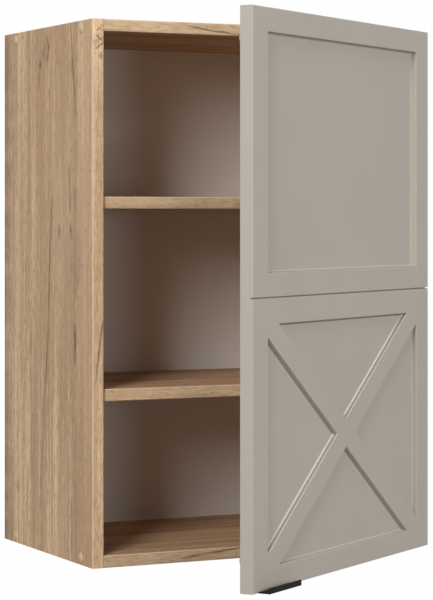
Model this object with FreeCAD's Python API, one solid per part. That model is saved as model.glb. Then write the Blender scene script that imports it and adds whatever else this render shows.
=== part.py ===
import FreeCAD, Part
import math
import os

V = FreeCAD.Vector
ACROSS = V(1, 0, 0)
BACK = V(0, 1, 0)
UP = V(0, 0, 1)

# Wall cabinet with one hinged door, in millimetres. X runs to the right, Y to the wall, Z up.
# The origin lies on the wall plane, mid-width, level with the underside of the carcass.
width = 500.0
height = 720.0
depth = 320.0
board = 16.0
edge_band = 2.0
back_sheet = 3.0
back_recess = 12.0

# Shelves: height of each underside above the underside of the carcass.
lower_shelf_z = 218.0
upper_shelf_z = 471.0
shelf_setback = 5.0
shelf_play = 1.0

# Door: the pattern on its front is a plain field above a field crossed by two diagonal bars.
door_thickness = 18.0
door_reveal = 2.0
door_gap = 3.0
door_rest_angle = 33.35
stile = 38.0
top_rail = 30.0
middle_rail = 63.0
bottom_rail = 28.0
cross_bar = 30.0
cross_spread = 2.5
field_depth = 7.5
cross_depth = 5.5
field_slope = 1.4
field_foot = 1.5
field_arris = 0.6
split_width = 1.8
split_lift = 1.4
split_depth = 5.0
door_round = 1.2
door_back_round = 0.8

# Hinges: the pin stands inside the cup, near the hinge edge of the door.
hinge_end_distance = 100.0
cup_radius = 17.5
cup_edge = 3.0
cup_depth = 12.5
cup_wall = 0.8
cup_floor = 0.8
cup_flange = 1.0
pin_radius = 1.5
pin_inset = 7.2
pin_sink = 8.5
eye_radius = 2.4
eye_half = 4.8
arm_thickness = 2.4
arm_offset = 18.0
arm_length = 64.0
plate_screw_line = 37.0
plate_screw_half = 16.0

# Edge pull under the free corner of the door.
pull_length = 80.0
pull_inset = 14.0
pull_sheet = 1.5
pull_reach = 16.4
pull_lip = 7.5
pull_plate = 14.0

# Wall hangers in the two upper back corners.
hanger_width = 20.0
hanger_length = 40.0
hanger_height = 56.0
hanger_drop = 8.0
hook_rest_drop = 24.0
wall_plate_width = 36.0
wall_screw_radius = 3.0
wall_screw_spacing = 24.0

# Fits.
slip = 0.1
groove_play = 0.2
running_clearance = 0.05

half = width / 2
inner = half - board
front = -depth
board_front = front + edge_band
ceiling = height - board
sheet_front = -back_recess - back_sheet
door_back = front - door_gap
door_front = door_back - door_thickness
door_half = half - door_reveal
door_bottom = door_reveal
door_top = height - door_reveal
pin_x = door_half - pin_inset
pin_y = door_back - pin_sink
hinge_heights = {
    "lower": door_bottom + hinge_end_distance,
    "upper": door_top - hinge_end_distance,
}


def box(x0, x1, y0, y1, z0, z1):
    return Part.makeBox(x1 - x0, y1 - y0, z1 - z0, V(x0, y0, z0))


def rod(radius, length, base, direction):
    return Part.makeCylinder(radius, length, base, direction)


def turned(profile, base, direction):
    """Solid turned from (distance along the axis, radius) points."""
    points = [V(r, 0, t) for t, r in profile]
    solid = Part.Face(Part.makePolygon(points + points[:1])).revolve(V(), UP, 360)
    solid.Placement = FreeCAD.Placement(base, FreeCAD.Rotation(UP, direction))
    return solid


def plan(points, z0, z1):
    """Prism over (x, y) points."""
    corners = [V(x, y, z0) for x, y in points]
    return Part.Face(Part.makePolygon(corners + corners[:1])).extrude(V(0, 0, z1 - z0))


def profile_across(points, x0, x1):
    """Prism over (y, z) points, running across from x0 to x1."""
    corners = [V(x0, y, z) for y, z in points]
    return Part.Face(Part.makePolygon(corners + corners[:1])).extrude(V(x1 - x0, 0, 0))


def mirrored(shape):
    return shape.mirror(V(), ACROSS)


def both_sides(shape):
    return [shape, mirrored(shape)]


def hung(shape):
    """Turns a piece of the door from closed to the angle it rests at."""
    shape.rotate(V(pin_x, pin_y, 0), UP, door_rest_angle)
    return shape


def save(name, *solids):
    shape = solids[0] if len(solids) == 1 else Part.makeCompound(list(solids))
    shape.exportStep("parts/" + name + ".step")


def cross_slot(shape, centre, direction, size, deep):
    """Cuts a cross recess into a screw head whose outer face is at centre."""
    slot = Part.makeBox(size, size / 4, deep, V(-size / 2, -size / 8, 0))
    cross = slot.fuse(slot.rotated(V(), UP, 90))
    cross.Placement = FreeCAD.Placement(centre, FreeCAD.Rotation(UP, direction))
    return shape.cut(cross)


def pan_screw(head_radius, head, shank_radius, length, seat, direction):
    """Pan-head screw: its head stands on the seat and its shank runs along direction."""
    edge = head * 0.4
    screw = turned([
        (-head, 0), (-head, head_radius - edge), (-head + edge, head_radius), (0, head_radius),
        (0, shank_radius), (length - shank_radius, shank_radius), (length, shank_radius * 0.3), (length, 0),
    ], seat, direction)
    return cross_slot(screw, seat - direction * head, direction, head_radius, head * 0.6)


os.makedirs("parts", exist_ok=True)

# Confirmat screws hold the top and the bottom between the sides; caps cover their heads.
confirmat_front = 40.0
confirmat_back = 44.0
confirmat_length = 50.0
confirmat_head = 4.9
confirmat_seat = 4.6
confirmat_shank = 3.5
confirmat_core = 2.5
head_sink = 0.6
socket = 4.0
socket_depth = 3.5
cap_radius = 6.8
cap_height = 1.6
cap_rim = 0.6
cap_stem = 3.0
dowel_radius = 4.0
dowel_length = 30.0

confirmat_z = 0.6 * board
confirmat_spots = []
for z in (confirmat_z, height - confirmat_z):
    for y in (front + confirmat_front, -confirmat_back):
        confirmat_spots.append((y, z))
dowel_spots = []
for z in (board / 2, height - board / 2):
    dowel_spots.append((front / 2, z))


def hexagon(across, length, base, direction):
    radius = across / math.sqrt(3)
    corners = []
    for k in range(6):
        turn = k * math.pi / 3
        corners.append(V(radius * math.cos(turn), radius * math.sin(turn), 0))
    solid = Part.Face(Part.makePolygon(corners + corners[:1])).extrude(V(0, 0, length))
    solid.Placement = FreeCAD.Placement(base, FreeCAD.Rotation(UP, direction))
    return solid


def confirmat(y, z):
    screw = turned([
        (head_sink, 0), (head_sink, confirmat_head), (confirmat_seat, confirmat_head),
        (confirmat_seat, confirmat_shank - slip), (board, confirmat_shank - slip),
        (board, confirmat_core - slip), (confirmat_length - 3, confirmat_core - slip),
        (confirmat_length, confirmat_core * 0.25), (confirmat_length, 0),
    ], V(-half, y, z), ACROSS)
    return screw.cut(hexagon(socket, socket_depth, V(-half + head_sink, y, z), ACROSS))


def confirmat_hole(y, z):
    head = rod(confirmat_head + slip, confirmat_seat, V(-half, y, z), ACROSS)
    shank = rod(confirmat_shank, board, V(-half, y, z), ACROSS)
    core = rod(confirmat_core, confirmat_length + 1, V(-half, y, z), ACROSS)
    return head.fuse([shank, core])


def cap(y, z):
    dome = turned([
        (0, 0), (0, cap_radius), (-cap_rim, cap_radius), (-cap_height * 0.75, cap_radius * 0.8),
        (-cap_height, cap_radius * 0.45), (-cap_height, 0),
    ], V(-half, y, z), ACROSS)
    stem = hexagon(socket - 2 * slip, cap_stem, V(-half, y, z), ACROSS)
    return dome.fuse(stem)


def dowel(y, z):
    """A dowel fills the hole that it is glued into, a third of its length in the side."""
    return rod(dowel_radius, dowel_length, V(-inner - dowel_length / 3, y, z), ACROSS)


fastener_holes = [confirmat_hole(y, z) for y, z in confirmat_spots]
fastener_holes += [dowel(y, z) for y, z in dowel_spots]
confirmats = [confirmat(y, z) for y, z in confirmat_spots]
caps = [cap(y, z) for y, z in confirmat_spots]
dowels = [dowel(y, z) for y, z in dowel_spots]

# The back sheet stands in a groove that runs round the carcass near the wall.
tongue = board * 0.4
groove_spare = 0.5
groove_bottom = tongue + groove_spare
groove_front = sheet_front - groove_play
groove_back = -back_recess

# Shelf supports: a peg in the side and a flat tongue under the shelf.
peg_radius = 2.5
peg_length = 9.0
tongue_reach = 11.0
tongue_half = 4.5
tongue_sheet = 2.5
collar_sheet = 1.2
rib_half = 1.0
support_inset = 50.0
shelf_levels = {"lower_shelf": lower_shelf_z, "upper_shelf": upper_shelf_z}
shelf_front = front + shelf_setback
shelf_back = sheet_front - shelf_play
support_rows = (shelf_front + support_inset, shelf_back - support_inset)
support_spots = []
for shelf_z in shelf_levels.values():
    for y in support_rows:
        support_spots.append((y, shelf_z - peg_radius))


def peg_hole(y, z):
    return rod(peg_radius, peg_length + 1, V(-inner, y, z), -ACROSS)


def shelf_support(y, z):
    top = z + peg_radius
    peg = rod(peg_radius - running_clearance, peg_length, V(-inner, y, z), -ACROSS)
    collar = rod(tongue_half, collar_sheet, V(-inner, y, top - tongue_half), ACROSS)
    tongue_plate = box(
        -inner, -inner + tongue_reach, y - tongue_half, y + tongue_half, top - tongue_sheet, top)
    corner = V(-inner, y - rib_half, top - tongue_sheet)
    rib_end = corner + ACROSS * (tongue_reach - rib_half)
    rib_foot = corner - UP * (2 * tongue_half - tongue_sheet)
    rib = Part.Face(Part.makePolygon([corner, rib_end, rib_foot, corner])).extrude(BACK * (2 * rib_half))
    return peg.fuse([collar, tongue_plate, rib]).removeSplitter()


supports = [shelf_support(y, z) for y, z in support_spots]

# Hanger housings press into the sides with two round studs each.
housing_top = ceiling - hanger_drop
housing_bottom = housing_top - hanger_height
housing_front = sheet_front - hanger_length
stud_radius = 5.0
stud_length = 10.0
stud_inset = 12.0
stud_y = sheet_front - hanger_length / 2
stud_heights = (housing_bottom + stud_inset, housing_top - stud_inset)

side_cuts = list(fastener_holes)
side_cuts.append(box(-inner - groove_bottom, -inner, groove_front, groove_back, 0, height))
side_cuts += [peg_hole(y, z) for y, z in support_spots]
side_cuts += [rod(stud_radius, stud_length + 1, V(-inner, stud_y, z), -ACROSS) for z in stud_heights]
side = box(-half, -inner, board_front, 0, 0, height).cut(side_cuts)

# Hinge mounting plates are screwed to the inner face of the right side.
plate_sheet = 2.0
plate_screw_y = front + plate_screw_line
plate_screw_core = 1.6
plate_screw_length = 12.0
plate_spots = []
for z in hinge_heights.values():
    for dz in (-plate_screw_half, plate_screw_half):
        plate_spots.append(V(inner - plate_sheet, plate_screw_y, z + dz))
plate_holes = [rod(plate_screw_core, plate_screw_length + plate_sheet, p, ACROSS) for p in plate_spots]

save("left_side", side)
save("right_side", mirrored(side).cut(plate_holes))

# Top and bottom lie between the sides.
end_holes = []
for hole in fastener_holes:
    end_holes += both_sides(hole)


def between(z0, groove_z):
    panel = box(-inner, inner, board_front, 0, z0, z0 + board)
    groove = box(-inner, inner, groove_front, groove_back, groove_z, groove_z + groove_bottom)
    return panel.cut(end_holes + [groove])


save("bottom_panel", between(0, board - groove_bottom))
save("top_panel", between(ceiling, ceiling))
save("confirmat_screws", *[s for screw in confirmats for s in both_sides(screw)])
save("screw_caps", *[s for piece in caps for s in both_sides(piece)])
save("dowels", *[s for piece in dowels for s in both_sides(piece)])
save("shelf_supports", *[s for piece in supports for s in both_sides(piece)])

# Shelves lie on the supports, a little behind the front edges.
shelf_half = inner - shelf_play
for name, z in shelf_levels.items():
    save(name, box(-shelf_half, shelf_half, shelf_front + edge_band, shelf_back, z, z + board))


def band_strip(x0, x1, y0, z0, z1):
    """Edge strip in front of a board, with its two long front edges broken."""
    strip = box(x0, x1, y0, y0 + edge_band, z0, z1)
    upright = z1 - z0 > x1 - x0
    long_edges = []
    for edge in strip.Edges:
        a, b = [v.Point for v in edge.Vertexes]
        along = abs(b.z - a.z) if upright else abs(b.x - a.x)
        if max(a.y, b.y) < y0 + edge_band / 2 and along > board * 2:
            long_edges.append(edge)
    return strip.makeFillet(edge_band * 0.7, long_edges)


side_strip = band_strip(-half, -inner, front, 0, height)
save("side_edge_bands", *both_sides(side_strip))
save("bottom_edge_band", band_strip(-inner, inner, front, 0, board))
save("top_edge_band", band_strip(-inner, inner, front, ceiling, height))
for name, z in shelf_levels.items():
    save(name + "_edge_band", band_strip(-shelf_half, shelf_half, shelf_front, z, z + board))

# Hangers: a hook in each housing passes through the back sheet and rests on a plate on the wall.
hook_sheet = 3.0
hook_height = 12.0
hook_bevel = 3.0
hook_overlap = 2.0
lip_sheet = 2.5
lip_back = -8.5
tip_gap = 1.5
tip_sheet = 3.5
tip_drop = 8.0
block_half = 4.0
block_inset = 10.0
block_length = 14.0
block_drop = 12.0
cavity_play = 1.0
cavity_run = 6.0
housing_round = 2.0
screw_radius = 3.0
height_screw_drop = 8.0
adjuster_head = 1.5
adjuster_rim = 1.0
slot_depth = 1.2
opening_half = 6.0
opening_margin = 6.0
hook_x = -inner + hanger_width / 2
hook_rest = housing_top - hook_rest_drop
tip_front = lip_back + tip_gap
tip_back = tip_front + tip_sheet
block_front = housing_front + block_inset
block_back = block_front + block_length
block_bottom = hook_rest - block_drop
block_top = hook_rest + hook_height
depth_screw_z = hook_rest + hook_height / 2
height_screw_z = hook_rest - height_screw_drop
opening_bottom = hook_rest - tip_drop - opening_margin
opening_top = block_top + opening_margin

sheet = box(-inner - tongue, inner + tongue, sheet_front, groove_back, board - tongue, ceiling + tongue)
sheet_opening = box(
    hook_x - opening_half, hook_x + opening_half, sheet_front, groove_back, opening_bottom, opening_top)
save("back_panel", sheet.cut(both_sides(sheet_opening)))

housing = box(-inner, -inner + hanger_width, housing_front, sheet_front, housing_bottom, housing_top)
housing = housing.makeFillet(housing_round, [
    e for e in housing.Edges
    if e.BoundBox.XMin > hook_x and e.BoundBox.YLength + e.BoundBox.ZLength > hanger_width
])
cavity = box(
    hook_x - block_half - cavity_play, hook_x + block_half + cavity_play,
    block_front - cavity_run, sheet_front, block_bottom - cavity_run, block_top + cavity_run)
housing = housing.cut([
    cavity,
    rod(screw_radius + slip, hanger_length, V(hook_x, housing_front, depth_screw_z), BACK),
    rod(screw_radius + slip, hanger_length, V(hook_x, housing_front, height_screw_z), BACK),
])
stud_fit = stud_radius - running_clearance
housing = housing.fuse([rod(stud_fit, stud_length, V(-inner, stud_y, z), -ACROSS) for z in stud_heights])
save("left_hanger_housing", housing)
save("right_hanger_housing", mirrored(housing))

hook_start = block_back - hook_overlap
hook = profile_across([
    (hook_start, hook_rest), (tip_front, hook_rest), (tip_front, hook_rest - tip_drop),
    (tip_back, hook_rest - tip_drop), (tip_back, block_top - hook_bevel),
    (tip_back - hook_bevel, block_top), (hook_start, block_top),
], hook_x - hook_sheet / 2, hook_x + hook_sheet / 2)
block = box(hook_x - block_half, hook_x + block_half, block_front, block_back, block_bottom, block_top)
thread = rod(screw_radius, block_back - block_front, V(hook_x, block_front, depth_screw_z), BACK)
hook = hook.fuse(block).cut(thread).removeSplitter()
save("left_hanger_hook", hook)
save("right_hanger_hook", mirrored(hook))


def adjuster(z, tip_y):
    start = V(hook_x, housing_front - adjuster_head, z)
    length = tip_y - start.y
    core = screw_radius - slip / 2
    rim = screw_radius + adjuster_rim
    screw = turned([
        (0, 0), (0, rim), (adjuster_head, rim), (adjuster_head, core), (length, core), (length, 0),
    ], start, BACK)
    return cross_slot(screw, start, BACK, screw_radius * 1.4, slot_depth)


adjusters = [adjuster(depth_screw_z, block_back - 1), adjuster(height_screw_z, block_front)]
save("hanger_screws", *[s for screw in adjusters for s in both_sides(screw)])

wall_plate_inset = 1.0
wall_plate_margin = 12.0
hook_clearance = 6.0
wall_plate_x = -inner + wall_plate_inset
wall_plate_top = hook_rest - tip_drop - hook_clearance
wall_plate_bottom = wall_plate_top - wall_screw_spacing - 2 * wall_plate_margin
wall_plate = profile_across([
    (0, wall_plate_bottom), (0, wall_plate_top), (lip_back, wall_plate_top), (lip_back, hook_rest),
    (lip_back - lip_sheet, hook_rest), (lip_back - lip_sheet, wall_plate_top - lip_sheet),
    (-lip_sheet, wall_plate_top - lip_sheet), (-lip_sheet, wall_plate_bottom),
], wall_plate_x, wall_plate_x + wall_plate_width)
wall_hole_x = wall_plate_x + wall_plate_width / 2
wall_hole_low = wall_plate_bottom + wall_plate_margin
wall_holes = []
for z in (wall_hole_low, wall_hole_low + wall_screw_spacing):
    wall_holes.append(rod(wall_screw_radius, lip_sheet, V(wall_hole_x, 0, z), -BACK))
save("hanger_wall_plates", *both_sides(wall_plate.cut(wall_holes)))

# Hinges. The neck of each arm runs out of the cup, round the front edge of the side and back inside.
# Its bends are given as (x, y) from the pin.
neck = [(-10.0, -1.0), (-14.0, 4.0), (-16.0, 12.0), (-arm_offset, 16.0)]
flange_trim = 0.3
leg_gap = 0.4
leg_sheet = 1.4
leg_depth = 5.5
leg_inset = 10.0
rise_spare = 0.5
rise_setback = 4.0
rise_stop = 2.0
wing_half = 9.0
wing_margin = 7.0
wing_round = 4.0
fixing_inset = 12.0
fixing_radius = 2.5
fixing_head = 4.0
fixing_head_height = 2.2
fixing_length = 6.0
adjust_inset = 24.0
adjust_stand = 1.2
arm_x = pin_x - arm_offset
arm_face = arm_x + arm_thickness / 2
arm_outside = arm_x - arm_thickness / 2
arm_end = front + arm_length
web_half = eye_half
trim_x = pin_x - flange_trim
leg_start = front + leg_inset
rise_half = web_half + rise_spare
fixing_y = arm_end - fixing_inset
adjust_y = front + adjust_inset


def thickened(points, thickness):
    """Outline of a strip of even thickness round a centre line of (x, y) points."""
    left = []
    right = []
    for k, (x, y) in enumerate(points):
        x0, y0 = points[max(k - 1, 0)]
        x1, y1 = points[min(k + 1, len(points) - 1)]
        before = math.atan2(y - y0, x - x0) if k > 0 else math.atan2(y1 - y, x1 - x)
        after = math.atan2(y1 - y, x1 - x) if k < len(points) - 1 else before
        half_turn = math.atan2(math.sin(after - before), math.cos(after - before)) / 2
        middle = before + half_turn
        reach = thickness / 2 / math.cos(half_turn)
        left.append((x - reach * math.sin(middle), y + reach * math.cos(middle)))
        right.append((x + reach * math.sin(middle), y - reach * math.cos(middle)))
    return left + right[::-1]


def hinge_arm(z):
    line = [(pin_x, pin_y)] + [(pin_x + x, pin_y + y) for x, y in neck] + [(arm_x, arm_end)]
    strip = plan(thickened(line, arm_thickness), z - web_half, z + web_half)
    eye = rod(eye_radius, 2 * web_half, V(pin_x, pin_y, z - web_half), UP)
    back_half = rise_half + leg_gap
    widened = box(arm_outside, arm_face, leg_start, arm_end, z - back_half, z + back_half)
    legs = []
    for side_sign in (-1, 1):
        near = z + side_sign * back_half
        far = near + side_sign * leg_sheet
        low, high = sorted((near, far))
        legs.append(box(arm_outside, arm_face + leg_depth, leg_start, arm_end, low, high))
    bore = rod(pin_radius + running_clearance, 2 * web_half, V(pin_x, pin_y, z - web_half), UP)
    slot_half = fixing_radius + slip
    slot = rod(slot_half, arm_thickness, V(arm_outside, fixing_y, z), ACROSS)
    mouth = box(arm_outside, arm_face, fixing_y, arm_end, z - slot_half, z + slot_half)
    adjust_hole = rod(fixing_radius, arm_thickness, V(arm_outside, adjust_y, z), ACROSS)
    return strip.fuse([eye, widened] + legs).cut([bore, slot, mouth, adjust_hole]).removeSplitter()


def hinge_plate(z):
    wing_z = plate_screw_half + wing_margin
    wing_y0 = plate_screw_y - wing_half
    wing_y1 = plate_screw_y + wing_half
    wing = box(inner - plate_sheet, inner, wing_y0, wing_y1, z - wing_z, z + wing_z)
    wing = wing.makeFillet(wing_round, [e for e in wing.Edges if e.BoundBox.XLength > plate_sheet / 2])
    rise = box(arm_face, inner, leg_start + rise_setback, arm_end - rise_stop, z - rise_half, z + rise_half)
    holes = [rod(fixing_radius, inner - arm_face - plate_sheet, V(arm_face, fixing_y, z), ACROSS)]
    for dz in (-plate_screw_half, plate_screw_half):
        seat = V(inner - plate_sheet, plate_screw_y, z + dz)
        holes.append(rod(plate_screw_core + slip, plate_sheet, seat, ACROSS))
    return wing.fuse(rise).cut(holes)


def fixing_screw(z):
    seat = V(arm_outside, fixing_y, z)
    core = fixing_radius - slip / 2
    return pan_screw(fixing_head, fixing_head_height, core, fixing_length, seat, ACROSS)


def adjusting_screw(z):
    start = V(arm_outside - adjust_stand, adjust_y, z)
    screw = rod(fixing_radius - slip / 2, arm_face - start.x, start, ACROSS)
    return cross_slot(screw, start, ACROSS, fixing_radius * 1.3, slot_depth)


boss_gap = 0.3
boss_length = 3.0
rim_overlap = 1.5
ear_radius = 7.0
ear_half = 24.0
ear_shift = 9.5
small_head = 3.2
small_head_height = 1.6
cup_screw_core = 1.4
cup_screw_length = 11.0
cup_x = door_half - cup_edge - cup_radius
ear_x = cup_x - ear_shift
boss_start = web_half + boss_gap
pin_half = boss_start + boss_length


def hinge_cup(z):
    mouth = V(cup_x, door_back, z)
    shell = rod(cup_radius, cup_depth, mouth, -BACK)
    hollow = rod(cup_radius - cup_wall, cup_depth - cup_floor, mouth, -BACK)
    shell = shell.cut(hollow)
    for side_sign in (-1, 1):
        near = z + side_sign * boss_start
        far = near + side_sign * boss_length
        low, high = sorted((near, far))
        boss = box(pin_x - eye_radius, door_half, door_back - cup_depth, pin_y + eye_radius, low, high)
        shell = shell.fuse(boss.common(rod(cup_radius, cup_depth, mouth, -BACK)))
    flange_back = door_back + cup_flange
    rim = rod(cup_radius + rim_overlap, cup_flange, mouth, BACK)
    flange = rim.cut(box(trim_x, door_half, door_back, flange_back, z - cup_radius, z + cup_radius))
    ears = [box(ear_x - ear_radius, ear_x + ear_radius, door_back, flange_back, z - ear_half, z + ear_half)]
    holes = [hinge_pin(z)]
    for dz in (-ear_half, ear_half):
        seat = V(ear_x, door_back, z + dz)
        ears.append(rod(ear_radius, cup_flange, seat, BACK))
        holes.append(rod(cup_screw_core + slip, cup_flange, seat, BACK))
    flange = flange.fuse(ears).cut(rod(cup_radius - cup_wall, cup_flange, mouth, BACK))
    return shell.fuse(flange).cut(holes).removeSplitter()


def hinge_pin(z):
    """The pin is pressed into the bosses of the cup, so it has the size of their bores."""
    return rod(pin_radius, 2 * pin_half, V(pin_x, pin_y, z - pin_half), UP)


cup_spots = []
arm_screws = []
for name, z in hinge_heights.items():
    save(name + "_hinge_arm", hinge_arm(z))
    save(name + "_hinge_plate", hinge_plate(z))
    save(name + "_hinge_cup", hung(hinge_cup(z)))
    save(name + "_hinge_pin", hung(hinge_pin(z)))
    arm_screws += [fixing_screw(z), adjusting_screw(z)]
    for dz in (-ear_half, ear_half):
        cup_spots.append(V(ear_x, door_back + cup_flange, z + dz))
plate_screws = []
for spot in plate_spots:
    core = plate_screw_core - slip
    plate_screws.append(pan_screw(small_head, small_head_height, core, plate_screw_length, spot, ACROSS))
cup_screws = []
for spot in cup_spots:
    core = cup_screw_core - slip
    cup_screws.append(hung(pan_screw(small_head, small_head_height, core, cup_screw_length, spot, -BACK)))
save("hinge_arm_screws", *arm_screws)
save("hinge_plate_screws", *plate_screws)
save("hinge_cup_screws", *cup_screws)


def inset(points, distance):
    """Moves each side of a convex (x, z) outline, listed anticlockwise, inwards."""
    moved = []
    count = len(points)
    for k in range(count):
        (ax, az), (bx, bz), (cx, cz) = points[k - 1], points[k], points[(k + 1) % count]
        before = math.atan2(bz - az, bx - ax)
        after = math.atan2(cz - bz, cx - bx)
        turn = math.atan2(math.sin(after - before), math.cos(after - before))
        middle = before + turn / 2 + math.pi / 2
        reach = distance / math.cos(turn / 2)
        moved.append((bx + reach * math.cos(middle), bz + reach * math.sin(middle)))
    return moved


def field(points, floor_depth):
    """Milled field: a broken arris, steep walls, and a bevelled foot round a flat floor."""
    wall_end = floor_depth - field_foot
    break_end = field_arris * field_slope / wall_end
    stations = [
        (-field_arris, break_end - 2 * field_arris),
        (field_arris, break_end),
        (wall_end, field_slope),
        (floor_depth, field_slope + field_foot),
    ]
    wires = []
    for deep, in_by in stations:
        corners = [V(x, door_front + deep, z) for x, z in inset(points, in_by)]
        wires.append(Part.makePolygon(corners + corners[:1]))
    return Part.makeLoft(wires, True, True)


# Fields of the door: one rectangle above the split, four shallower triangles below it.
# The bars between the triangles aim a little beyond the corners of their rectangle.
door_middle = (door_bottom + door_top) / 2
field_left = -door_half + stile
field_right = door_half - stile
upper_low = door_middle + middle_rail / 2
upper_high = door_top - top_rail
lower_low = door_bottom + bottom_rail
lower_high = door_middle - middle_rail / 2
slant = math.atan2(lower_high - lower_low + 2 * cross_spread, field_right - field_left)
bar_x = cross_bar / 2 / math.sin(slant)
bar_z = cross_bar / 2 / math.cos(slant)
cross_x = (field_left + field_right) / 2
cross_z = (lower_low + lower_high) / 2
bar_low = lower_low - cross_spread + bar_z
bar_high = lower_high + cross_spread - bar_z
bar_left = field_left + bar_x + cross_spread / math.tan(slant)
bar_right = field_right - bar_x - cross_spread / math.tan(slant)
upper_outline = [
    (field_left, upper_low), (field_right, upper_low), (field_right, upper_high), (field_left, upper_high),
]
cross_outlines = [
    [(bar_left, lower_low), (bar_right, lower_low), (cross_x, cross_z - bar_z)],
    [(cross_x, cross_z + bar_z), (bar_right, lower_high), (bar_left, lower_high)],
    [(field_left, bar_low), (cross_x - bar_x, cross_z), (field_left, bar_high)],
    [(field_right, bar_high), (cross_x + bar_x, cross_z), (field_right, bar_low)],
]
split_taper = 0.4
split_low = door_middle + split_lift - split_width / 2
split_high = split_low + split_width
split_floor = door_front + split_depth
split = profile_across([
    (door_front, split_low), (split_floor, split_low + split_taper),
    (split_floor, split_high - split_taper), (door_front, split_high),
], -door_half, door_half)

# Edge pull: bent sheet let into the lower edge of the door, with a lip in front of it.
pull_left = -door_half + pull_inset
pull_right = pull_left + pull_length
pull_tip = door_front - pull_reach
pull_bed = door_bottom + pull_sheet
pull_screw_radius = 1.5
pull_screw_length = 11.0
pull_screw_inset = 12.0
pull_screw_slot = 1.0
pull_screw_z = door_bottom + pull_plate * 0.55
pull_spots = []
for x in (pull_left + pull_screw_inset, pull_right - pull_screw_inset):
    pull_spots.append(V(x, door_back + pull_sheet, pull_screw_z))
pull = profile_across([
    (door_back + pull_sheet, door_bottom), (pull_tip, door_bottom),
    (pull_tip, door_bottom + pull_lip), (pull_tip + pull_sheet, door_bottom + pull_lip),
    (pull_tip + pull_sheet, pull_bed), (door_back, pull_bed),
    (door_back, door_bottom + pull_plate), (door_back + pull_sheet, door_bottom + pull_plate),
], pull_left, pull_right)
pull_bends = []
for edge in pull.Edges:
    bounds = edge.BoundBox
    outer_bend = bounds.ZMax < door_bottom + pull_sheet / 2
    lip_edge = bounds.YMax < door_front and bounds.ZMin > door_bottom + pull_lip / 2
    if bounds.XLength > pull_length / 2 and (outer_bend or lip_edge):
        pull_bends.append(edge)
pull = pull.makeFillet(pull_sheet * 0.4, pull_bends)


def sunk_screw(seat, extra):
    """Flat-head screw whose head is let into the pull's sheet."""
    head = pull_screw_radius + pull_sheet
    core = pull_screw_radius + extra
    end = pull_screw_length + extra
    return turned([(0, 0), (0, head), (pull_sheet, core), (end, core), (end, 0)], seat, -BACK)


pull = pull.cut([sunk_screw(p, 0) for p in pull_spots])
save("edge_pull", hung(pull))
pull_screws = []
for spot in pull_spots:
    screw = cross_slot(sunk_screw(spot, 0), spot, -BACK, pull_screw_radius * 2, pull_screw_slot)
    pull_screws.append(hung(screw))
save("edge_pull_screws", *pull_screws)

# Door panel: one board milled on its front.
panel = box(-door_half, door_half, door_front, door_back, door_bottom, door_top)
panel_middle = (door_front + door_back) / 2
panel = panel.makeFillet(door_round, [e for e in panel.Edges if e.BoundBox.YMax < panel_middle])
panel = panel.makeFillet(door_back_round, [
    e for e in panel.Edges if e.BoundBox.YMin > panel_middle and e.BoundBox.YLength < slip
])
panel_cuts = [field(upper_outline, field_depth), split]
panel_cuts += [field(outline, cross_depth) for outline in cross_outlines]
panel_cuts.append(box(pull_left - slip, pull_right + slip, door_front, door_back, door_bottom, pull_bed))
for z in hinge_heights.values():
    panel_cuts.append(rod(cup_radius + slip, cup_depth + slip, V(cup_x, door_back, z), -BACK))
panel_cuts += [rod(cup_screw_core, cup_screw_length + 1, p, -BACK) for p in cup_spots]
panel_cuts += [sunk_screw(p, running_clearance) for p in pull_spots]
save("door_panel", hung(panel.cut(panel_cuts)))

# Bumpers soften the closing on the left side's front edge.
bumper_radius = 5.0
bumper_gap = 0.4
bumper_inset = 40.0
bumper_height = door_gap - bumper_gap
bumper_x = -half + board / 2
bumpers = []
for z in (door_bottom + bumper_inset, door_top - bumper_inset):
    bumpers.append(hung(turned([
        (0, 0), (0, bumper_radius), (bumper_height * 0.5, bumper_radius),
        (bumper_height, bumper_radius * 0.5), (bumper_height, 0),
    ], V(bumper_x, door_back, z), BACK)))
save("door_bumpers", *bumpers)
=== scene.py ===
# %% [markdown]
# # A kitchen wall cabinet with its door ajar
# The cabinet is a box of oak-look board with two shelves, a thin pale back and one greige door that
# stands open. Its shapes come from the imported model, in metres, with X to the right, Y to the wall and
# Z up. What is left to make here is the picture: a camera, light, and a finish for every piece.

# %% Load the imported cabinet
import math

import bmesh
import bpy
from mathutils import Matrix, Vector

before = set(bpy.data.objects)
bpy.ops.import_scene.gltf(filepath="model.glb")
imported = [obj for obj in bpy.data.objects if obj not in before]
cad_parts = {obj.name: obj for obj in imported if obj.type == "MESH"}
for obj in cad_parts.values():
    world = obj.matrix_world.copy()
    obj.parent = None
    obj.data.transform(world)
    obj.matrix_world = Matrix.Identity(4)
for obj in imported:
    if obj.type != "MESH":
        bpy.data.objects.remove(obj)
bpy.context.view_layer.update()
scene = bpy.context.scene
scene.view_settings.view_transform = "Standard"
print("pieces loaded:", len(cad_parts))

# %% [markdown]
# ## Camera
# The upright edges of the cabinet stay upright in the picture, so the camera is level and its lens is
# shifted down, as a view camera's is. A yaw of about 26 degrees shows the left side. The shift could be
# replaced by a tilt, but then the sides would lean together.

# %% Camera
picture_width = 433
picture_height = 600
focal_pixels = 2313.3
horizon_row = 215.84
camera_yaw = math.radians(26.18)
camera_place = Vector((-1.4389, -3.1053, 0.4617))
sensor = 36.0

camera_data = bpy.data.cameras.new("camera")
camera_data.sensor_width = sensor
camera_data.lens = focal_pixels / max(picture_width, picture_height) * sensor
camera_data.shift_y = (horizon_row - picture_height / 2) / max(picture_width, picture_height)
camera = bpy.data.objects.new("camera", camera_data)
camera.location = camera_place
camera.rotation_euler = (math.pi / 2, 0, -camera_yaw)
scene.collection.objects.link(camera)
scene.camera = camera
print("lens", round(camera_data.lens, 1), "mm, shift", round(camera_data.shift_y, 3))

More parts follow.
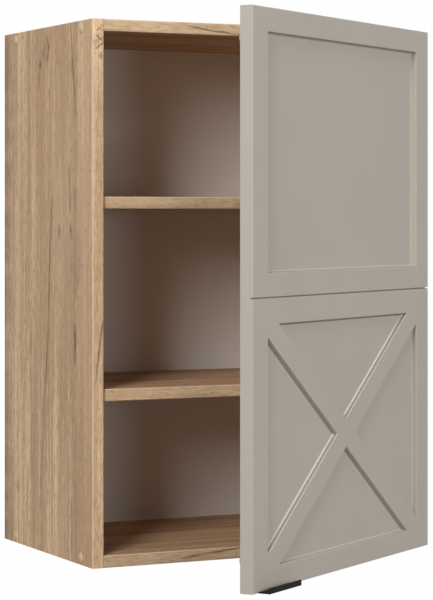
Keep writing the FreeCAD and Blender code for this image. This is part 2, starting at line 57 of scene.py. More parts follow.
# %% [markdown]
# ## Light
# A tall soft lamp at the front left reaches the lower right of each compartment and leaves the rest of
# it in shadow. It comes from above the milled walls that look down, so they stay dark. The door has a
# lamp square to it. A weak lamp level with the opening lights the left of the back, and others hang
# overhead and stand behind each side. A sun lamp would give shadows as soft, but no fall-off towards the
# foot of the door.

# %% Lamps
cabinet_middle = Vector((0, -0.2, 0.36))
lamp_distance = 4.0


def soft_lamp(name, turn, rise, width, height, power):
    """Soft lamp aimed at the cabinet; turn is degrees to the right of the front, rise is above it."""
    data = bpy.data.lights.new(name, "AREA")
    data.shape = "RECTANGLE"
    data.size = width
    data.size_y = height
    data.energy = power
    lamp = bpy.data.objects.new(name, data)
    level = math.cos(math.radians(rise))
    toward = Vector((
        math.sin(math.radians(turn)) * level,
        -math.cos(math.radians(turn)) * level,
        math.sin(math.radians(rise)),
    ))
    lamp.location = cabinet_middle + toward * lamp_distance
    lamp.rotation_euler = (-toward).to_track_quat("-Z", "Y").to_euler()
    scene.collection.objects.link(lamp)
    return lamp


lamps = [
    soft_lamp("key_lamp", -46, 25, 1.1, 2.4, 110),
    soft_lamp("top_lamp", 0, 72, 1.3, 1.3, 10),
    soft_lamp("door_lamp", 36, 14, 1.3, 1.3, 59.3),
    soft_lamp("front_lamp", -9, 1, 0.7, 0.7, 19),
    soft_lamp("side_lamp", -132, 18, 1.3, 1.3, 10),
    soft_lamp("rear_lamp", 160, 30, 2.4, 2.4, 50),
]
print("lamps:", [lamp.name for lamp in lamps])

# %% [markdown]
# ## Node helpers
# Every finish below is a small node tree. These helpers add a node, set or link its inputs, and hand
# back the socket that the next node needs, so that a recipe reads from top to bottom.

# %% Node helpers
SOCKET_KINDS = {"value": "NodeSocketFloat", "colour": "NodeSocketColor", "vector": "NodeSocketVector"}
MIX_FIRST = 6
MIX_SECOND = 7
MIX_RESULT = 2


def feed(tree, socket, value):
    """Links a socket to an input, or sets the input to a plain value."""
    if isinstance(value, bpy.types.NodeSocket):
        tree.links.new(value, socket)
    else:
        socket.default_value = value


def calc(tree, operation, *values, clamp=False):
    """Result of a maths node."""
    node = tree.nodes.new("ShaderNodeMath")
    node.operation = operation
    node.use_clamp = clamp
    for socket, value in zip(node.inputs, values):
        feed(tree, socket, value)
    return node.outputs[0]


def product(tree, first, *masks):
    """Product of two or more masks."""
    for mask in masks:
        first = calc(tree, "MULTIPLY", first, mask)
    return first


def smooth_step(tree, value, low, high, out_low=0.0, out_high=1.0):
    """Goes smoothly from one level to another as the value goes from low to high."""
    node = tree.nodes.new("ShaderNodeMapRange")
    node.interpolation_type = "SMOOTHSTEP"
    settings = {
        "Value": value, "From Min": low, "From Max": high, "To Min": out_low, "To Max": out_high,
    }
    for label, setting in settings.items():
        feed(tree, node.inputs[label], setting)
    return node.outputs["Result"]


def stretched_noise(tree, place, stretch, detail=3.0, roughness=0.5):
    """Noise whose cells are one metre divided by stretch along each axis."""
    scaled = tree.nodes.new("ShaderNodeVectorMath")
    scaled.operation = "MULTIPLY"
    feed(tree, scaled.inputs[0], place)
    scaled.inputs[1].default_value = stretch
    node = tree.nodes.new("ShaderNodeTexNoise")
    node.inputs["Scale"].default_value = 1.0
    node.inputs["Detail"].default_value = detail
    node.inputs["Roughness"].default_value = roughness
    tree.links.new(scaled.outputs[0], node.inputs["Vector"])
    return node.outputs["Fac"]


def blend_colours(tree, share, first, second):
    node = tree.nodes.new("ShaderNodeMix")
    node.data_type = "RGBA"
    feed(tree, node.inputs["Factor"], share)
    feed(tree, node.inputs[MIX_FIRST], first)
    feed(tree, node.inputs[MIX_SECOND], second)
    return node.outputs[MIX_RESULT]


def join_axes(tree, x, y, z):
    node = tree.nodes.new("ShaderNodeCombineXYZ")
    for socket, value in zip(node.inputs, (x, y, z)):
        feed(tree, socket, value)
    return node.outputs[0]


def split_axes(tree, vector):
    node = tree.nodes.new("ShaderNodeSeparateXYZ")
    feed(tree, node.inputs[0], vector)
    return node.outputs["X"], node.outputs["Y"], node.outputs["Z"]


def new_group(name, inputs, outputs):
    tree = bpy.data.node_groups.new(name, "ShaderNodeTree")
    for label, kind in inputs.items():
        tree.interface.new_socket(name=label, in_out="INPUT", socket_type=SOCKET_KINDS[kind])
    for label, kind in outputs.items():
        tree.interface.new_socket(name=label, in_out="OUTPUT", socket_type=SOCKET_KINDS[kind])
    given = tree.nodes.new("NodeGroupInput").outputs
    result = tree.nodes.new("NodeGroupOutput").inputs
    return tree, given, result


def use_group(tree, group, settings):
    node = tree.nodes.new("ShaderNodeGroup")
    node.node_tree = group
    for label, value in settings.items():
        feed(tree, node.inputs[label], value)
    return node.outputs


def new_finish(name, settings):
    """Material with a Principled shader, whose plain inputs are set at once."""
    material = bpy.data.materials.new(name)
    material.use_nodes = True
    shader = material.node_tree.nodes["Principled BSDF"]
    for label, value in settings.items():
        shader.inputs[label].default_value = value
    return material, material.node_tree, shader


def add_relief(tree, shader, height, depth):
    """Bumps of the given depth, in metres."""
    bump = tree.nodes.new("ShaderNodeBump")
    bump.inputs["Distance"].default_value = depth
    tree.links.new(height, bump.inputs["Height"])
    tree.links.new(bump.outputs["Normal"], shader.inputs["Normal"])


def place_and_normal(tree):
    node = tree.nodes.new("ShaderNodeTexCoord")
    return node.outputs["Object"], node.outputs["Normal"]


def dress(material, *names):
    """Puts a finish on every material slot of the named pieces."""
    for name in names:
        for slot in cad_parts[name].material_slots:
            slot.material = material


print("helpers ready")

# %% [markdown]
# ## Studio
# The cabinet hangs in front of plain white. The world gives a dim, even light, and only what the camera
# or a reflection sees of it is white. A wall unit hangs about 1.4 m above the floor, so the floor lies
# that far down: it stays below the picture's lower edge and takes the soft shadow. It is grey, with a glow
# that the camera sees and the cabinet doesn't. A white floor would be simpler, but its light comes up at
# the door, and the pull would draw a smudge in it.

# %% World and floor
even_light = 0.082
floor_drop = 1.4
floor_radius = 3.0
floor_tone = (0.3, 0.3, 0.3, 1)
floor_glow = 0.74


def seen_directly(tree):
    """1 where the camera, a reflection or a clear piece looks, 0 for light that falls on things."""
    path = tree.nodes.new("ShaderNodeLightPath").outputs
    mirrored = calc(tree, "MAXIMUM", path["Is Glossy Ray"], path["Is Transmission Ray"])
    return calc(tree, "MAXIMUM", path["Is Camera Ray"], mirrored)


world = bpy.data.worlds.new("studio")
scene.world = world
world.use_nodes = True
studio = world.node_tree
studio.nodes.clear()
glow = studio.nodes.new("ShaderNodeBackground")
glow.inputs["Color"].default_value = (1, 1, 1, 1)
glow.inputs["Strength"].default_value = even_light
white = studio.nodes.new("ShaderNodeBackground")
white.inputs["Color"].default_value = (1, 1, 1, 1)
either = studio.nodes.new("ShaderNodeMixShader")
feed(studio, either.inputs[0], seen_directly(studio))
feed(studio, either.inputs[1], glow.outputs[0])
feed(studio, either.inputs[2], white.outputs[0])
feed(studio, studio.nodes.new("ShaderNodeOutputWorld").inputs["Surface"], either.outputs[0])

floor_mesh = bpy.data.meshes.new("floor")
disc = bmesh.new()
bmesh.ops.create_circle(disc, cap_ends=True, radius=floor_radius, segments=96)
disc.to_mesh(floor_mesh)
disc.free()
floor = bpy.data.objects.new("floor", floor_mesh)
floor.location = (0, cabinet_middle.y, -floor_drop)
scene.collection.objects.link(floor)
floor_settings = {"Base Color": floor_tone, "Roughness": 0.9, "Emission Color": (1, 1, 1, 1)}
floor_finish, tree, shader = new_finish("floor", floor_settings)
pale_glow = calc(tree, "MULTIPLY", seen_directly(tree), floor_glow)
feed(tree, shader.inputs["Emission Strength"], pale_glow)
floor_mesh.materials.append(floor_finish)
print("floor", floor_drop, "m below the cabinet")

# %% [markdown]
# ## Oak print
# The boards are covered with a printed oak: soft bands a few centimetres wide, finer streaks, lines and
# fibres, and dark pores, all drawn out along the grain. Each layer is finer and shorter than the last. A
# photograph of wood would do it too, but noise stretched along one axis never repeats and needs no
# picture. The group takes a place whose Z runs with the grain, so a shelf only has to swap its axes. It
# bends the place a little first, because real grain is never ruled.

# %% Oak print group
grain_sway = 0.012
pore_tone = (0.24, 0.15, 0.08, 1)
pore_share = 0.36

oak_print, given, result = new_group(
    "oak print",
    {"Place": "vector", "Pale": "colour", "Deep": "colour", "Grey": "colour"},
    {"Colour": "colour", "Height": "value", "Roughness": "value"},
)
sway = stretched_noise(oak_print, given["Place"], (6, 6, 1.6), detail=2)
sway = calc(oak_print, "SUBTRACT", sway, 0.5)
sway = calc(oak_print, "MULTIPLY", sway, grain_sway)
bent = oak_print.nodes.new("ShaderNodeVectorMath")
feed(oak_print, bent.inputs[0], given["Place"])
feed(oak_print, bent.inputs[1], join_axes(oak_print, sway, sway, 0.0))
bent = bent.outputs[0]
bands = stretched_noise(oak_print, bent, (13, 13, 0.7), detail=2)
streaks = stretched_noise(oak_print, bent, (50, 50, 1.6), detail=2)
lines = stretched_noise(oak_print, bent, (150, 150, 3), detail=3, roughness=0.6)
fibres = stretched_noise(oak_print, bent, (300, 300, 50), detail=2)
pores = stretched_noise(oak_print, bent, (420, 420, 110), detail=2)
pores = smooth_step(oak_print, pores, 0.5, 0.7)
tone = calc(oak_print, "MULTIPLY", bands, 0.34)
for layer, weight in ((streaks, 0.24), (lines, 0.22), (fibres, 0.2)):
    tone = calc(oak_print, "MULTIPLY_ADD", layer, weight, tone)
paleness = smooth_step(oak_print, tone, 0.432, 0.568)
wood = blend_colours(oak_print, paleness, given["Deep"], given["Pale"])
clouds = stretched_noise(oak_print, bent, (12, 12, 3), detail=3)
clouds = smooth_step(oak_print, clouds, 0.45, 0.72, 0.0, 0.8)
wood = blend_colours(oak_print, clouds, wood, given["Grey"])
wood = blend_colours(oak_print, calc(oak_print, "MULTIPLY", pores, pore_share), wood, pore_tone)
sunk = calc(oak_print, "MULTIPLY", pores, 0.5)
feed(oak_print, result["Colour"], wood)
feed(oak_print, result["Height"], calc(oak_print, "SUBTRACT", fibres, sunk))
feed(oak_print, result["Roughness"], smooth_step(oak_print, lines, 0.3, 0.7, 0.66, 0.56))
print("oak print:", len(oak_print.nodes), "nodes")

# %% [markdown]
# ## Splits and knots
# Rustic oak has a few dark splits that lean a little off the grain, and smudges where a knot sat. Each
# group makes one mark as a mask, from where the surface is across and along the grain, so a board lists
# its marks as plain numbers. Noise alone would scatter them, and then none would be where the eye expects.

# %% Split and knot groups
PLACE_LABELS = ("Across", "Along")
SPLIT_LABELS = ("At", "Foot", "Top", "Lean", "Width", "Strength")
KNOT_LABELS = ("At", "Height", "Size", "Stretch", "Strength")
split_wander = 0.006
knot_raggedness = 1.6

split_mark, given, result = new_group(
    "split mark", {label: "value" for label in PLACE_LABELS + SPLIT_LABELS}, {"Mask": "value"})
up = calc(split_mark, "SUBTRACT", given["Along"], given["Foot"])
seed = join_axes(split_mark, given["Foot"], given["At"], given["Along"])
wander = stretched_noise(split_mark, seed, (40, 40, 22), detail=2)
wander = calc(split_mark, "SUBTRACT", wander, 0.5)
middle = calc(split_mark, "MULTIPLY_ADD", up, given["Lean"], given["At"])
middle = calc(split_mark, "MULTIPLY_ADD", wander, split_wander, middle)
gap = calc(split_mark, "ABSOLUTE", calc(split_mark, "SUBTRACT", given["Across"], middle))
core = smooth_step(split_mark, gap, 0.0, given["Width"], 1.0, 0.0)
length = calc(split_mark, "SUBTRACT", given["Top"], given["Foot"])
share = calc(split_mark, "DIVIDE", up, length, clamp=True)
ends = calc(split_mark, "MULTIPLY", share, calc(split_mark, "SUBTRACT", 1.0, share))
ends = smooth_step(split_mark, ends, 0.0, 0.16)
patchy = stretched_noise(split_mark, seed, (60, 60, 30), detail=2)
patchy = smooth_step(split_mark, patchy, 0.3, 0.6, 0.45, 1.0)
feed(split_mark, result["Mask"], product(split_mark, core, ends, patchy, given["Strength"]))

knot_mark, given, result = new_group(
    "knot mark", {label: "value" for label in PLACE_LABELS + KNOT_LABELS}, {"Mask": "value"})
sideways = calc(knot_mark, "SUBTRACT", given["Across"], given["At"])
sideways = calc(knot_mark, "DIVIDE", sideways, given["Size"])
upward = calc(knot_mark, "SUBTRACT", given["Along"], given["Height"])
upward = calc(knot_mark, "DIVIDE", upward, given["Size"])
upward = calc(knot_mark, "DIVIDE", upward, given["Stretch"])
spot = join_axes(knot_mark, given["Across"], given["At"], given["Along"])
ragged = calc(knot_mark, "SUBTRACT", stretched_noise(knot_mark, spot, (90, 90, 40)), 0.5)
reach = calc(knot_mark, "MULTIPLY_ADD", sideways, sideways, calc(knot_mark, "POWER", upward, 2.0))
reach = calc(knot_mark, "SQRT", reach)
reach = calc(knot_mark, "MULTIPLY_ADD", ragged, knot_raggedness, reach)
disc_mask = smooth_step(knot_mark, reach, 0.1, 1.1, 1.0, 0.0)
patchy = stretched_noise(knot_mark, spot, (260, 260, 90))
patchy = smooth_step(knot_mark, patchy, 0.35, 0.65, 0.3, 1.0)
feed(knot_mark, result["Mask"], product(knot_mark, disc_mask, patchy, given["Strength"]))
print("mark groups:", split_mark.name, "and", knot_mark.name)

# %% [markdown]
# ## Painted edge highlights
# The rounded edges of the strips and boards get a painted highlight: thin pale lines. The group finds
# them by the way a face looks: neither square to the front nor along it. Edges that look down get no
# painted highlight.

# %% Painted edge highlight group
edge_highlight_group, given, result = new_group("painted edge highlight", {"Normal": "vector"}, {"Mask": "value"})
axes = split_axes(edge_highlight_group, given["Normal"])
to_front = calc(edge_highlight_group, "ABSOLUTE", axes[1])
off_side = smooth_step(edge_highlight_group, to_front, 0.35, 0.6)
off_front = smooth_step(edge_highlight_group, to_front, 0.85, 0.97, 1.0, 0.0)
not_down = smooth_step(edge_highlight_group, axes[2], -0.6, -0.1)
feed(edge_highlight_group, result["Mask"], product(edge_highlight_group, off_side, off_front, not_down))
print("painted edge highlight:", len(edge_highlight_group.nodes), "nodes")

# %% [markdown]
# ## Board core
# Where no film or strip covers it, the board shows pressed wood chips, and the back sheet its brown
# fibres. Both are seen only from behind, on faces that look to the wall. Cells of two sizes make chips;
# the same group with small cells makes fibres.

# %% Board core group
chip_dark = (0.2, 0.12, 0.06, 1)
chip_pale = (0.5, 0.36, 0.22, 1)
board_chips = 260.0
sheet_fibres = 700.0

board_core, given, result = new_group(
    "board core", {"Place": "vector", "Chip Count": "value"}, {"Colour": "colour", "Height": "value"})
chips = board_core.nodes.new("ShaderNodeTexVoronoi")
feed(board_core, chips.inputs["Vector"], given["Place"])
feed(board_core, chips.inputs["Scale"], given["Chip Count"])
chip_tone = split_axes(board_core, chips.outputs["Color"])[0]
dust = stretched_noise(board_core, given["Place"], (900, 900, 900))
chip_tone = calc(board_core, "MULTIPLY_ADD", dust, 0.5, calc(board_core, "MULTIPLY", chip_tone, 0.5))
feed(board_core, result["Colour"], blend_colours(board_core, chip_tone, chip_dark, chip_pale))
feed(board_core, result["Height"], chip_tone)


def faces_wall(tree, normal):
    """1 on faces that look to the wall."""
    return smooth_step(tree, split_axes(tree, normal)[1], 0.8, 0.95)


print("board core:", len(board_core.nodes), "nodes")

# %% [markdown]
# ## Oak boards
# The grain stands upright on the two sides and runs from left to right on the shelves, the top and the
# bottom. The left side carries the marks that show: one long split down its middle, shorter ones near its
# corners, a cracked smudge near its top and a few knots. Wide, weak splits give it soft darker bands. It
# is darker towards its rear edge, with a thin dark line on it; both are painted shade. Each board's tones
# are scaled by a painted light level, lighter on the sides and darker on the lying boards, which are also
# a little redder.

# %% Oak boards
# Pale colour of the painted highlight on rounded edges.
painted_edge_highlight = (0.86, 0.63, 0.43, 1)
# Dark tone of the marks and of the painted shade along the left side's rear edge.
mark_and_shade_tone = (0.19, 0.112, 0.058, 1)
grain_depth = 0.00012


def oak_tones(shade, evenness=0.0, redness=0.0):
    """Pale, deep and grey of the print scaled by shade, a painted light level; evenness draws the three
    together.
    """
    pale = Vector((0.77, 0.553, 0.344))
    deep = Vector((0.475, 0.306, 0.177))
    grey = Vector((0.57, 0.389, 0.242))
    middle = (pale + deep) / 2
    tint = Vector((1 + redness, 1 - redness, 1 - 2 * redness)) * shade
    return [(*(tone.lerp(middle, evenness) * tint), 1) for tone in (pale, deep, grey)]


def marks_and_shade_mask(tree, across, along, splits, knots):
    """Sum of the listed marks and painted shade bands, each a row of numbers in the order of its group's
    labels.
    """
    place = {"Across": across, "Along": along}
    masks = []
    for group, labels, marks_and_shade in ((split_mark, SPLIT_LABELS, splits), (knot_mark, KNOT_LABELS, knots)):
        for mark in marks_and_shade:
            masks.append(use_group(tree, group, place | dict(zip(labels, mark)))["Mask"])
    total = masks[0]
    for mask in masks[1:]:
        total = calc(tree, "ADD", total, mask)
    return calc(tree, "MINIMUM", total, 1.0)


def oak_finish(name, lying, across_axis, tones, splits=(), knots=()):
    """Oak print, upright or lying along X, with marks and painted shade bands placed across the given
    axis.
    """
    material, tree, shader = new_finish(name, {"Specular IOR Level": 0.25})
    place, normal = place_and_normal(tree)
    axes = split_axes(tree, place)
    grain_place = join_axes(tree, axes[1], axes[2], axes[0]) if lying else place
    pale, deep, grey = tones
    oak = use_group(tree, oak_print, {"Place": grain_place, "Pale": pale, "Deep": deep, "Grey": grey})
    colour = oak["Colour"]
    if splits or knots:
        along = axes[0] if lying else axes[2]
        marks_and_shade = marks_and_shade_mask(tree, axes["XYZ".index(across_axis)], along, splits, knots)
        # Marks, and on the left side a painted shade along the rear edge, take the dark tone.
        colour = blend_colours(tree, marks_and_shade, colour, mark_and_shade_tone)
    # Rounded edges get a painted highlight.
    edge = use_group(tree, edge_highlight_group, {"Normal": normal})["Mask"]
    colour = blend_colours(tree, edge, colour, painted_edge_highlight)
    core = use_group(tree, board_core, {"Place": place, "Chip Count": board_chips})
    colour = blend_colours(tree, faces_wall(tree, normal), colour, core["Colour"])
    feed(tree, shader.inputs["Base Color"], colour)
    feed(tree, shader.inputs["Roughness"], oak["Roughness"])
    add_relief(tree, shader, oak["Height"], grain_depth)
    return material


left_splits = [
    (-0.1553, 0.200, 0.530, -0.083, 0.0042, 0.85),
    (-0.134, 0.040, 0.275, -0.105, 0.0055, 0.45),
    (-0.2645, 0.585, 0.735, 0.15, 0.0038, 0.75),
    (-0.1687, 0.689, 0.714, 0.54, 0.0042, 0.6),
    (-0.1617, 0.672, 0.699, -0.27, 0.0042, 0.8),
    (-0.1450, 0.676, 0.694, -0.41, 0.0042, 0.6),
    (-0.1298, 0.632, 0.686, -0.12, 0.0042, 0.75),
    (-0.082, -0.03, 0.125, -0.058, 0.0035, 0.65),
    (-0.2475, -0.03, 0.090, -0.02, 0.0032, 0.6),
    (-0.244, 0.460, 0.535, 0.05, 0.0038, 0.75),
    (-0.262, 0.462, 0.503, 0.1, 0.0034, 0.6),
    (-0.074, 0.150, 0.430, -0.04, 0.0050, 0.25),
    (-0.101, 0.265, 0.305, 0.0, 0.0045, 0.35),
    (-0.262, 0.258, 0.320, 0.06, 0.0045, 0.85),
    (-0.2325, 0.446, 0.462, -0.1, 0.0034, 0.4),
    (-0.248, 0.384, 0.398, 0.1, 0.0034, 0.45),
]
left_bands_and_rear_shade = [
    (-0.265, -0.100, 0.850, 0.0, 0.0280, 0.18),
    (-0.105, -0.100, 0.850, 0.0, 0.0200, 0.06),
    # Painted shade: darker towards the rear edge, with a thin dark line right at it.
    (-0.004, -0.200, 0.950, 0.0, 0.0500, 0.52),
    (0.0, -0.200, 0.950, 0.0, 0.0060, 0.35),
]
left_knots = [
    (-0.157, 0.684, 0.014, 2.0, 0.55),
    (-0.138, 0.669, 0.008, 1.3, 0.8),
    (-0.206, 0.437, 0.0105, 1.5, 1.0),
    (-0.2465, 0.441, 0.0090, 1.3, 1.0),
    (-0.262, 0.300, 0.008, 2.5, 0.7),
    (-0.052, 0.082, 0.012, 1.4, 0.4),
    (-0.248, 0.662, 0.012, 2.2, 0.35),
    (-0.265, 0.390, 0.030, 2.2, 0.25),
]
left_marks_and_rear_shade = left_splits + left_bands_and_rear_shade
# Painted light: each board's shade makes it lighter or darker by how the light falls on it.
lying_tones = oak_tones(0.86, redness=0.05)
dress(oak_finish("oak_left_side", False, "Y", oak_tones(1.175), left_marks_and_rear_shade, left_knots), "left_side")
dress(oak_finish("oak_right_side", False, "Y", oak_tones(1.1)), "right_side")
dress(oak_finish("oak_lying", True, "Y", lying_tones),
      "bottom_panel", "top_panel", "lower_shelf", "upper_shelf")
print("oak boards dressed; marks on the left side:", len(left_marks_and_rear_shade) + len(left_knots))

# %% [markdown]
# ## Edge strips
# A strip of the same print covers each front edge, its tones scaled by a painted light level of its own,
# and the print on the shelf strips is evener. The grain runs along the edge. A split crosses the left
# upright strip below its middle, short ones cross over a knot at its top, and one crosses the top and the
# bottom strip.

# %% Edge strips
upright_splits = [
    (-0.2465, 0.235, 0.335, 0.125, 0.0024, 0.9),
    (-0.2476, 0.6790, 0.6905, 1.29, 0.0028, 0.75),
    (-0.2340, 0.6895, 0.6995, -1.29, 0.0024, 0.65),
    (-0.2429, 0.6915, 0.6980, 1.55, 0.0024, 0.6),
    (-0.2461, 0.7035, 0.7095, 1.1, 0.0022, 0.6),
    (-0.2318, 0.7037, 0.7072, -2.7, 0.0040, 0.75),
    (-0.2339, 0.7080, 0.7135, -1.15, 0.0022, 0.6),
    (-0.2458, 0.6800, 0.6890, -0.13, 0.0012, 0.5),
    (-0.2460, 0.6890, 0.6930, 0.0, 0.0014, 0.5),
    (-0.2400, 0.6600, 0.7400, 0.0, 0.0120, 0.14),
]
upright_knots = [(-0.240, 0.694, 0.009, 1.4, 0.35), (-0.238, 0.672, 0.004, 1.5, 0.5)]
top_splits = [(0.7155, -0.120, -0.010, -0.12, 0.0021, 0.95)]
bottom_splits = [(0.0037, -0.135, 0.06, 0.107, 0.0026, 0.95)]
# Painted light: each strip's shade sets how light it looks under the lamps.
upright_tones = oak_tones(1.3, evenness=0.2)
lower_tones = oak_tones(1.2, evenness=0.45)
upper_tones = oak_tones(1.02, evenness=0.45)
dress(oak_finish("strip_upright", False, "X", upright_tones, upright_splits, upright_knots),
      "side_edge_bands")
dress(oak_finish("strip_top", True, "Z", oak_tones(0.92), top_splits), "top_edge_band")
dress(oak_finish("strip_bottom", True, "Z", oak_tones(0.965), bottom_splits), "bottom_edge_band")
dress(oak_finish("strip_lower_shelf", True, "Z", lower_tones), "lower_shelf_edge_band")
dress(oak_finish("strip_upper_shelf", True, "Z", upper_tones), "upper_shelf_edge_band")
print("edge strips dressed")

# %% [markdown]
# ## Back sheet
# The back is thin fibreboard, lacquered pale towards the inside and bare brown towards the wall. One
# material does both, by the way each face looks.

# %% Moulded skin group and back sheet
lacquer_low = (0.85, 0.825, 0.805, 1)
lacquer_high = (0.89, 0.865, 0.845, 1)
lacquer_depth = 0.00005

moulded_skin, given, result = new_group(
    "moulded skin", {"Place": "vector"}, {"Height": "value", "Mottle": "value"})
grit = stretched_noise(moulded_skin, given["Place"], (1400, 1400, 1400), detail=2)
mottle = stretched_noise(moulded_skin, given["Place"], (14, 14, 9), detail=4)
feed(moulded_skin, result["Height"], grit)
feed(moulded_skin, result["Mottle"], mottle)

sheet_finish, tree, shader = new_finish("back_sheet", {"Specular IOR Level": 0.4})
place, normal = place_and_normal(tree)
skin = use_group(tree, moulded_skin, {"Place": place})
lacquer = blend_colours(tree, skin["Mottle"], lacquer_low, lacquer_high)
core = use_group(tree, board_core, {"Place": place, "Chip Count": sheet_fibres})
bare = faces_wall(tree, normal)
feed(tree, shader.inputs["Base Color"], blend_colours(tree, bare, lacquer, core["Colour"]))
feed(tree, shader.inputs["Roughness"], smooth_step(tree, bare, 0.0, 1.0, 0.5, 0.85))
add_relief(tree, shader, skin["Height"], lacquer_depth)
dress(sheet_finish, "back_panel")
print("back sheet dressed")

# %% [markdown]
# ## Door film
# The door is fibreboard under a matt film, one even greige with no print. Real film is not quite even: it
# is pressed over the milled fields and keeps a faint orange-peel. A slow mottle of a few percent and a
# very shallow relief give that. The milled walls carry painted light and shade: a painted highlight on the
# foot of the walls that look up and on the arris above them, painted shade on the steep walls, and the
# darkest painted shade on the short ones that look down. Each of these is found by how deep it lies under
# the door's face and by the way it looks once the door is turned back to shut. A material for each wall
# would do the same, but the door is one piece.

# %% Door film
door_opening = math.radians(33.35)
door_pin = (0.2408, -0.3315, 0)
door_face = -0.341
film_depth = 0.00003
film_low = (0.505, 0.456, 0.4, 1)
film_high = (0.535, 0.484, 0.424, 1)
film_finish, tree, shader = new_finish("door_film", {"Specular IOR Level": 0.1})
place, normal = place_and_normal(tree)


def shut_door_axes(vector, centre):
    """Axes of a place or a normal on the door as they are when it is shut."""
    node = tree.nodes.new("ShaderNodeVectorRotate")
    node.rotation_type = "Z_AXIS"
    node.inputs["Center"].default_value = centre
    node.inputs["Angle"].default_value = -door_opening
    feed(tree, node.inputs["Vector"], vector)
    return split_axes(tree, node.outputs[0])


skin = use_group(tree, moulded_skin, {"Place": place})
film = blend_colours(tree, skin["Mottle"], film_low, film_high)
depth = calc(tree, "SUBTRACT", shut_door_axes(place, door_pin)[1], door_face)
below_arris = smooth_step(tree, depth, 0.0004, 0.0009)
crossed = smooth_step(tree, split_axes(tree, place)[2], 0.35, 0.37, 1.0, 0.0)
looks = shut_door_axes(normal, (0, 0, 0))
to_front = calc(tree, "MULTIPLY", looks[1], -1.0)
looks_up = smooth_step(tree, looks[2], 0.15, 0.45)
looks_down = smooth_step(tree, looks[2], -0.45, -0.15, 1.0, 0.0)
looks_left = smooth_step(tree, looks[0], -0.35, -0.1, 1.0, 0.0)
not_flat = smooth_step(tree, to_front, 0.85, 0.97, 1.0, 0.0)
bevelled = product(tree, not_flat, smooth_step(tree, to_front, 0.5, 0.65))
milled = product(tree, not_flat, below_arris, smooth_step(tree, to_front, 0.09, 0.15))
foot = product(tree, bevelled, below_arris)
wall = calc(tree, "SUBTRACT", milled, foot)
arris = calc(tree, "SUBTRACT", bevelled, foot)
up_left = product(tree, looks_up, looks_left)
print("walls of the film told apart:", len(tree.nodes), "nodes")

# %% [markdown]
# Each tone is painted light or shade for one kind of wall, named by its field or by the way it looks. The
# crossed field is shallower, and its walls get darker painted shade. On its bars, where a wall looks up
# and to the left, the wall gets the darkest painted shade and the foot and the arris the palest painted
# highlight.

# %% Painted light and shade of the milled walls
# Painted shade for steep walls and painted highlights for feet and arrises, by the way each looks.
plain_wall_shade = (0.46, 0.41, 0.345, 1)
crossed_wall_shade = (0.37, 0.33, 0.278, 1)
upward_wall_shade = (0.43, 0.385, 0.33, 1)
upleft_wall_shade = (0.33, 0.29, 0.245, 1)
downleft_wall_shade = (0.418, 0.37, 0.31, 1)
plain_top_shade = (0.385, 0.342, 0.283, 1)
crossed_top_shade = (0.295, 0.261, 0.215, 1)
upward_foot_highlight = (0.56, 0.507, 0.442, 1)
upleft_foot_highlight = (0.665, 0.612, 0.535, 1)
leftward_foot_shade = (0.475, 0.424, 0.36, 1)
downleft_foot_shade = (0.308, 0.271, 0.225, 1)
upleft_arris_highlight = (0.66, 0.595, 0.515, 1)

painted_wall_shade = blend_colours(tree, crossed, plain_wall_shade, crossed_wall_shade)
painted_wall_shade = blend_colours(tree, looks_up, painted_wall_shade, upward_wall_shade)
painted_wall_shade = blend_colours(tree, up_left, painted_wall_shade, upleft_wall_shade)
top_wall = calc(tree, "MULTIPLY_ADD", foot, crossed, wall)
painted_top_shade = blend_colours(tree, crossed, plain_top_shade, crossed_top_shade)
painted_foot_highlight = blend_colours(tree, looks_left, upward_foot_highlight, upleft_foot_highlight)
painted_downleft_shade = blend_colours(tree, foot, downleft_wall_shade, downleft_foot_shade)
# The painted light and shade go over the film, wall by wall.
film = blend_colours(tree, wall, film, painted_wall_shade)
film = blend_colours(tree, product(tree, arris, up_left), film, upleft_arris_highlight)
film = blend_colours(tree, product(tree, foot, looks_left), film, leftward_foot_shade)
film = blend_colours(tree, product(tree, foot, looks_up), film, painted_foot_highlight)
film = blend_colours(tree, product(tree, top_wall, looks_down), film, painted_top_shade)
film = blend_colours(tree, product(tree, milled, looks_down, looks_left), film, painted_downleft_shade)
feed(tree, shader.inputs["Base Color"], film)
feed(tree, shader.inputs["Roughness"], smooth_step(tree, skin["Mottle"], 0.3, 0.7, 0.54, 0.48))
add_relief(tree, shader, skin["Height"], film_depth)
dress(film_finish, "door_panel")
print("door film dressed")

# %% [markdown]
# ## Plastics
# Caps hide the screw heads in a colour close to the board, the hanger housings are plain white mouldings,
# and two clear soft dots stop the door. All three are moulded, so they share the skin's fine grain. The
# caps rise in two conical steps to a flat top, and a shallow dome in the relief rounds them off.

# %% Plastics
cap_rows = (-0.162, 0.118)
cap_levels = (0.36, 0.3504)
cap_crown = 25.0
skin_depth = 0.00004
skin_spread = 0.06


def cap_dome(tree, place):
    """Height in metres of the dome on each screw cap; rows and levels are a middle and a half gap."""
    axes = split_axes(tree, place)
    square = 0.0
    for axis, (middle, half_gap) in ((axes[1], cap_rows), (axes[2], cap_levels)):
        from_middle = calc(tree, "ABSOLUTE", calc(tree, "SUBTRACT", axis, middle))
        offset = calc(tree, "SUBTRACT", from_middle, half_gap)
        square = calc(tree, "MULTIPLY_ADD", offset, offset, square)
    return calc(tree, "MULTIPLY", square, -cap_crown)


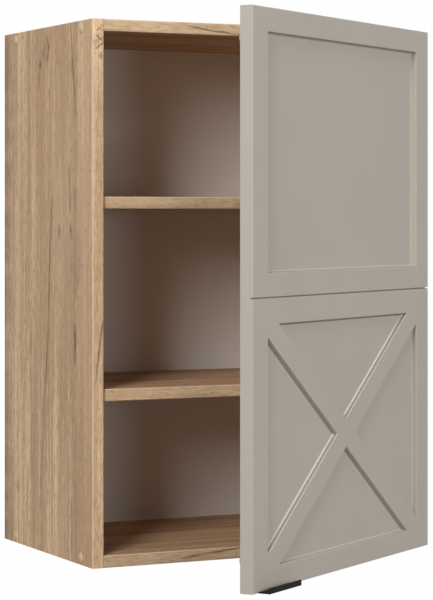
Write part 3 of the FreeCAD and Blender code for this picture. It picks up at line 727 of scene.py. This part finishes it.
def plastic_finish(name, dark, light, roughness, settings, dome=None):
    """Moulded plastic with a slow mottle and a fine skin; dome adds a larger relief."""
    material, tree, shader = new_finish(name, settings)
    place = place_and_normal(tree)[0]
    skin = use_group(tree, moulded_skin, {"Place": place})
    gloss = smooth_step(tree, skin["Mottle"], 0.3, 0.7, roughness + skin_spread, roughness)
    feed(tree, shader.inputs["Base Color"], blend_colours(tree, skin["Mottle"], dark, light))
    feed(tree, shader.inputs["Roughness"], gloss)
    height = calc(tree, "MULTIPLY", skin["Height"], skin_depth)
    if dome:
        height = calc(tree, "ADD", height, dome(tree, place))
    add_relief(tree, shader, height, 1.0)
    return material


cap_settings = {"Specular IOR Level": 0.3}
cap_dark = (0.67, 0.48, 0.285, 1)
cap_light = (0.73, 0.53, 0.32, 1)
white_dark = (0.74, 0.74, 0.72, 1)
white_light = (0.8, 0.8, 0.78, 1)
clear_settings = {"Transmission Weight": 0.6, "IOR": 1.41}
clear_dark = (0.74, 0.74, 0.71, 1)
clear_light = (0.8, 0.8, 0.77, 1)
dress(plastic_finish("cap_plastic", cap_dark, cap_light, 0.5, cap_settings, cap_dome), "screw_caps")
dress(plastic_finish("white_plastic", white_dark, white_light, 0.45, {}),
      "left_hanger_housing", "right_hanger_housing")
dress(plastic_finish("clear_bumper", clear_dark, clear_light, 0.3, clear_settings), "door_bumpers")
print("plastics dressed")

# %% [markdown]
# ## Metals
# Hinges are nickel plated and screws and brackets zinc plated. Both keep fine drawn lines from the sheet
# they were stamped from, and zinc has a cloudy bloom besides. The pull is coated matt black, with the
# same skin as a moulding.

# %% Metals
line_depth = 0.00001
line_spread = 0.12

drawn_metal, given, result = new_group(
    "drawn metal", {"Place": "vector"}, {"Streak": "value", "Bloom": "value"})
streak = stretched_noise(drawn_metal, given["Place"], (2200, 2200, 60), detail=2)
bloom = stretched_noise(drawn_metal, given["Place"], (240, 240, 240), detail=4)
feed(drawn_metal, result["Streak"], streak)
feed(drawn_metal, result["Bloom"], bloom)


def plated_finish(name, cool, warm, roughness):
    """Bright plated steel whose drawn lines are a little rougher than the rest."""
    material, tree, shader = new_finish(name, {"Metallic": 1.0})
    metal = use_group(tree, drawn_metal, {"Place": place_and_normal(tree)[0]})
    gloss = smooth_step(tree, metal["Streak"], 0.3, 0.7, roughness, roughness + line_spread)
    feed(tree, shader.inputs["Base Color"], blend_colours(tree, metal["Bloom"], cool, warm))
    feed(tree, shader.inputs["Roughness"], gloss)
    add_relief(tree, shader, metal["Streak"], line_depth)
    return material


dress(plated_finish("nickel_steel", (0.62, 0.6, 0.56, 1), (0.72, 0.7, 0.66, 1), 0.2),
      "lower_hinge_plate", "upper_hinge_plate", "lower_hinge_arm", "upper_hinge_arm",
      "lower_hinge_pin", "upper_hinge_pin", "lower_hinge_cup", "upper_hinge_cup")
dress(plated_finish("zinc_steel", (0.56, 0.58, 0.6, 1), (0.68, 0.68, 0.64, 1), 0.32),
      "confirmat_screws", "shelf_supports", "left_hanger_hook", "right_hanger_hook",
      "hanger_screws", "hanger_wall_plates", "hinge_plate_screws", "hinge_arm_screws",
      "hinge_cup_screws", "edge_pull_screws")
coat_settings = {"Specular IOR Level": 0.08}
coat_dark = (0.004, 0.004, 0.004, 1)
coat_light = (0.006, 0.006, 0.006, 1)
dress(plastic_finish("black_coat", coat_dark, coat_light, 0.5, coat_settings), "edge_pull")
print("metals dressed")

# %% [markdown]
# ## Dowels
# Turned beech dowels line up the top and the bottom with the sides. They are hidden, but a piece without
# a finish would show as soon as someone takes the cabinet apart, so they get plain beech from the oak
# group.

# %% Dowels
beech_tones = ((0.68, 0.5, 0.32, 1), (0.58, 0.41, 0.25, 1), (0.63, 0.46, 0.3, 1))
dress(oak_finish("dowel_beech", True, "Z", beech_tones), "dowels")
undressed = [name for name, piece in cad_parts.items() if not piece.material_slots]
print("pieces without a finish:", undressed)
